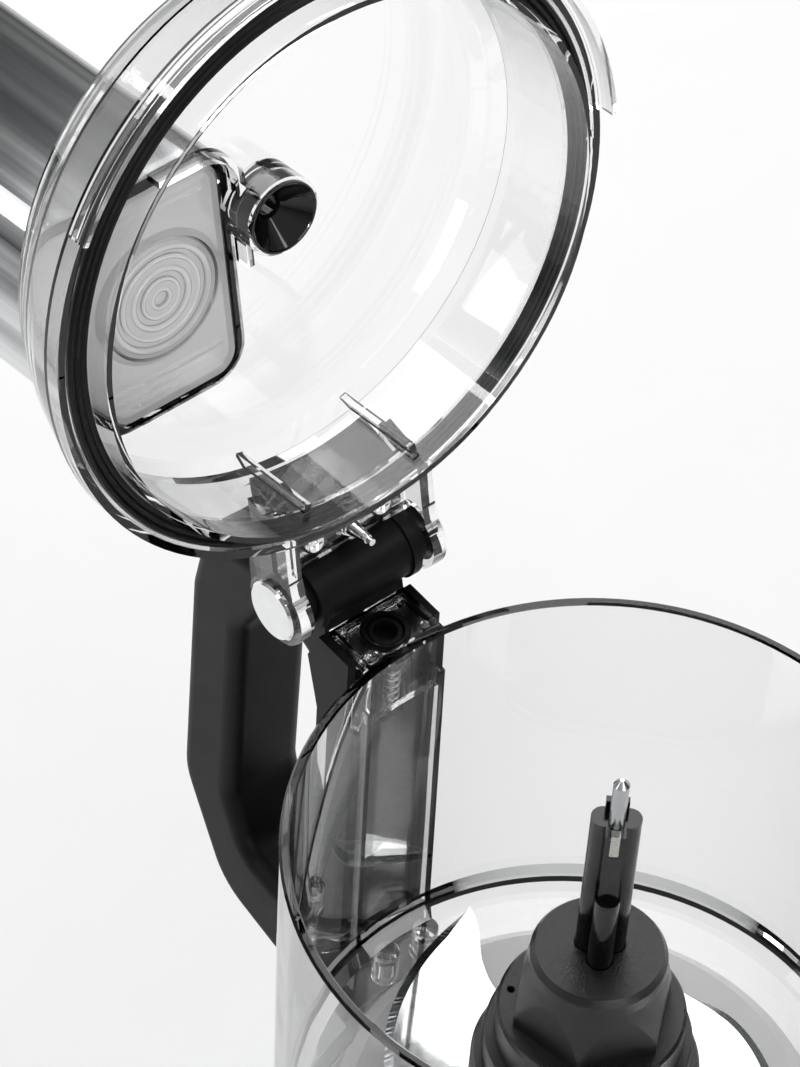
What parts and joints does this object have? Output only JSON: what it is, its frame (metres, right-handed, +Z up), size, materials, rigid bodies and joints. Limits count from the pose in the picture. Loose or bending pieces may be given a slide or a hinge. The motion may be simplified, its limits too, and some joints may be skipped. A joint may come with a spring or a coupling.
{
  "type": "food processor",
  "caption": "Hinged-lid food processor with clear bowl, curved cutting blade, nested chute pushers and direct-drive motor base.",
  "frame": {"origin": "centre of the plane under the feet, on the bowl's axis", "axes": "+Z up along the bowl and motor axis, -Y towards the control panel, +Y towards the handle and lid hinge, +X to the right seen from the front"},
  "size_m": [0.214, 0.4404, 0.5658],
  "materials": {
    "painted_steel": "satin brushed silver",
    "dark_plastic": "matte moulded black",
    "satin_black": "satin black",
    "clear_plastic": "clear polished copolyester",
    "black_silicone": "soft black silicone",
    "clear_silicone": "translucent silicone",
    "chrome": "mirror",
    "polished_steel": "polished stainless",
    "spring_steel": "drawn wire",
    "machined_steel": "turned steel",
    "laminated_iron": "laminated electrical steel",
    "cast_aluminium": "as cast",
    "copper": "enamelled copper wire",
    "brass": "turned brass",
    "grey_plastic": "silver grey",
    "display": "dark lens",
    "circuit": "circuit board",
    "feet_rubber": "rubber"
  },
  "bodies": {
    "base": {"base_housing": "painted_steel", "base_plate": "dark_plastic", "rubber_feet": "feet_rubber", "pedestal": "cast_aluminium", "column_bush": "brass", "column_seal": "black_silicone", "control_bezel": "dark_plastic", "display_window": "display", "display_module": "grey_plastic", "control_board": "circuit", "cord_grommet": "dark_plastic", "interlock_switch": "dark_plastic", "motor_stator": "laminated_iron", "motor_windings": "copper", "lower_motor_bracket": "cast_aluminium", "upper_motor_bracket": "cast_aluminium", "lower_bearing": "machined_steel", "upper_bearing": "machined_steel", "motor_screws": "machined_steel", "run_capacitor": "grey_plastic"},
    "drive": {"motor_shaft": "machined_steel", "motor_rotor": "laminated_iron", "cooling_fan": "dark_plastic"},
    "power_key": {"power_button": "grey_plastic"},
    "start_key": {"start_button": "grey_plastic"},
    "pulse_key": {"pulse_button": "grey_plastic"},
    "bowl_unit": {"bowl": "clear_plastic", "interlock_bellows": "clear_silicone", "handle": "dark_plastic", "handle_screws": "polished_steel"},
    "interlock": {"interlock_plunger": "satin_black", "interlock_rod": "machined_steel", "plunger_spring": "spring_steel"},
    "spindle_unit": {"spindle": "satin_black", "spindle_pin": "polished_steel", "spindle_insert": "brass"},
    "blade_unit": {"blade_hub": "dark_plastic", "lower_blade": "polished_steel", "upper_blade": "polished_steel"},
    "lid_unit": {"lid": "clear_plastic", "lid_gasket": "black_silicone", "hinge_cover": "satin_black", "cover_screws": "polished_steel", "actuator_pin": "polished_steel", "hinge_pin": "machined_steel", "hinge_caps": "chrome", "center_bush": "satin_black", "chute_sleeve": "chrome"},
    "large_pusher_unit": {"large_pusher": "clear_plastic", "pusher_top_plate": "grey_plastic"},
    "small_pusher_unit": {"small_pusher": "clear_plastic", "small_pusher_cap": "grey_plastic"}
  },
  "joints": [
    {"name": "motor_spin", "type": "hinge", "parent": "base", "child": "drive", "pos_m": [0, 0, 0.1], "axis": [0, 0, 1], "continuous": true},
    {"name": "power_press", "type": "slide", "parent": "base", "child": "power_key", "axis": [0, 1, 0], "range_m": [0, 0.0018], "stiffness_N_per_m": 500, "springref_m": -0.002},
    {"name": "start_press", "type": "slide", "parent": "base", "child": "start_key", "axis": [0, 1, 0], "range_m": [0, 0.0018], "stiffness_N_per_m": 500, "springref_m": -0.002},
    {"name": "pulse_press", "type": "slide", "parent": "base", "child": "pulse_key", "axis": [0, 1, 0], "range_m": [0, 0.0018], "stiffness_N_per_m": 500, "springref_m": -0.002},
    {"name": "bowl_lift", "type": "slide", "parent": "base", "child": "bowl_unit", "axis": [0, 0, 1], "range_m": [0, 0.09]},
    {"name": "spindle_spin", "type": "hinge", "parent": "bowl_unit", "child": "spindle_unit", "pos_m": [0, 0, 0.26], "axis": [0, 0, 1], "continuous": true},
    {"name": "blade_lift", "type": "slide", "parent": "spindle_unit", "child": "blade_unit", "axis": [0, 0, 1], "range_m": [0, 0.055]},
    {"name": "interlock_press", "type": "slide", "parent": "bowl_unit", "child": "interlock", "axis": [0, 0, -1], "range_m": [0, 0.004], "stiffness_N_per_m": 400, "springref_m": -0.004, "deforming": ["plunger_spring"]},
    {"name": "lid_hinge", "type": "hinge", "parent": "bowl_unit", "child": "lid_unit", "pos_m": [0, 0.12726, 0.33589], "axis": [1, 0, 0], "range_deg": [0, 101.45]},
    {"name": "large_pusher_slide", "type": "slide", "parent": "lid_unit", "child": "large_pusher_unit", "axis": [0, 0.9801, -0.1985], "range_m": [0, 0.09]},
    {"name": "small_pusher_slide", "type": "slide", "parent": "large_pusher_unit", "child": "small_pusher_unit", "axis": [0, 0.9801, -0.1985], "range_m": [0, 0.09]}
  ],
  "couplings": [
    {"joint": "spindle_spin", "follows": "motor_spin", "ratio": 1}
  ]
}
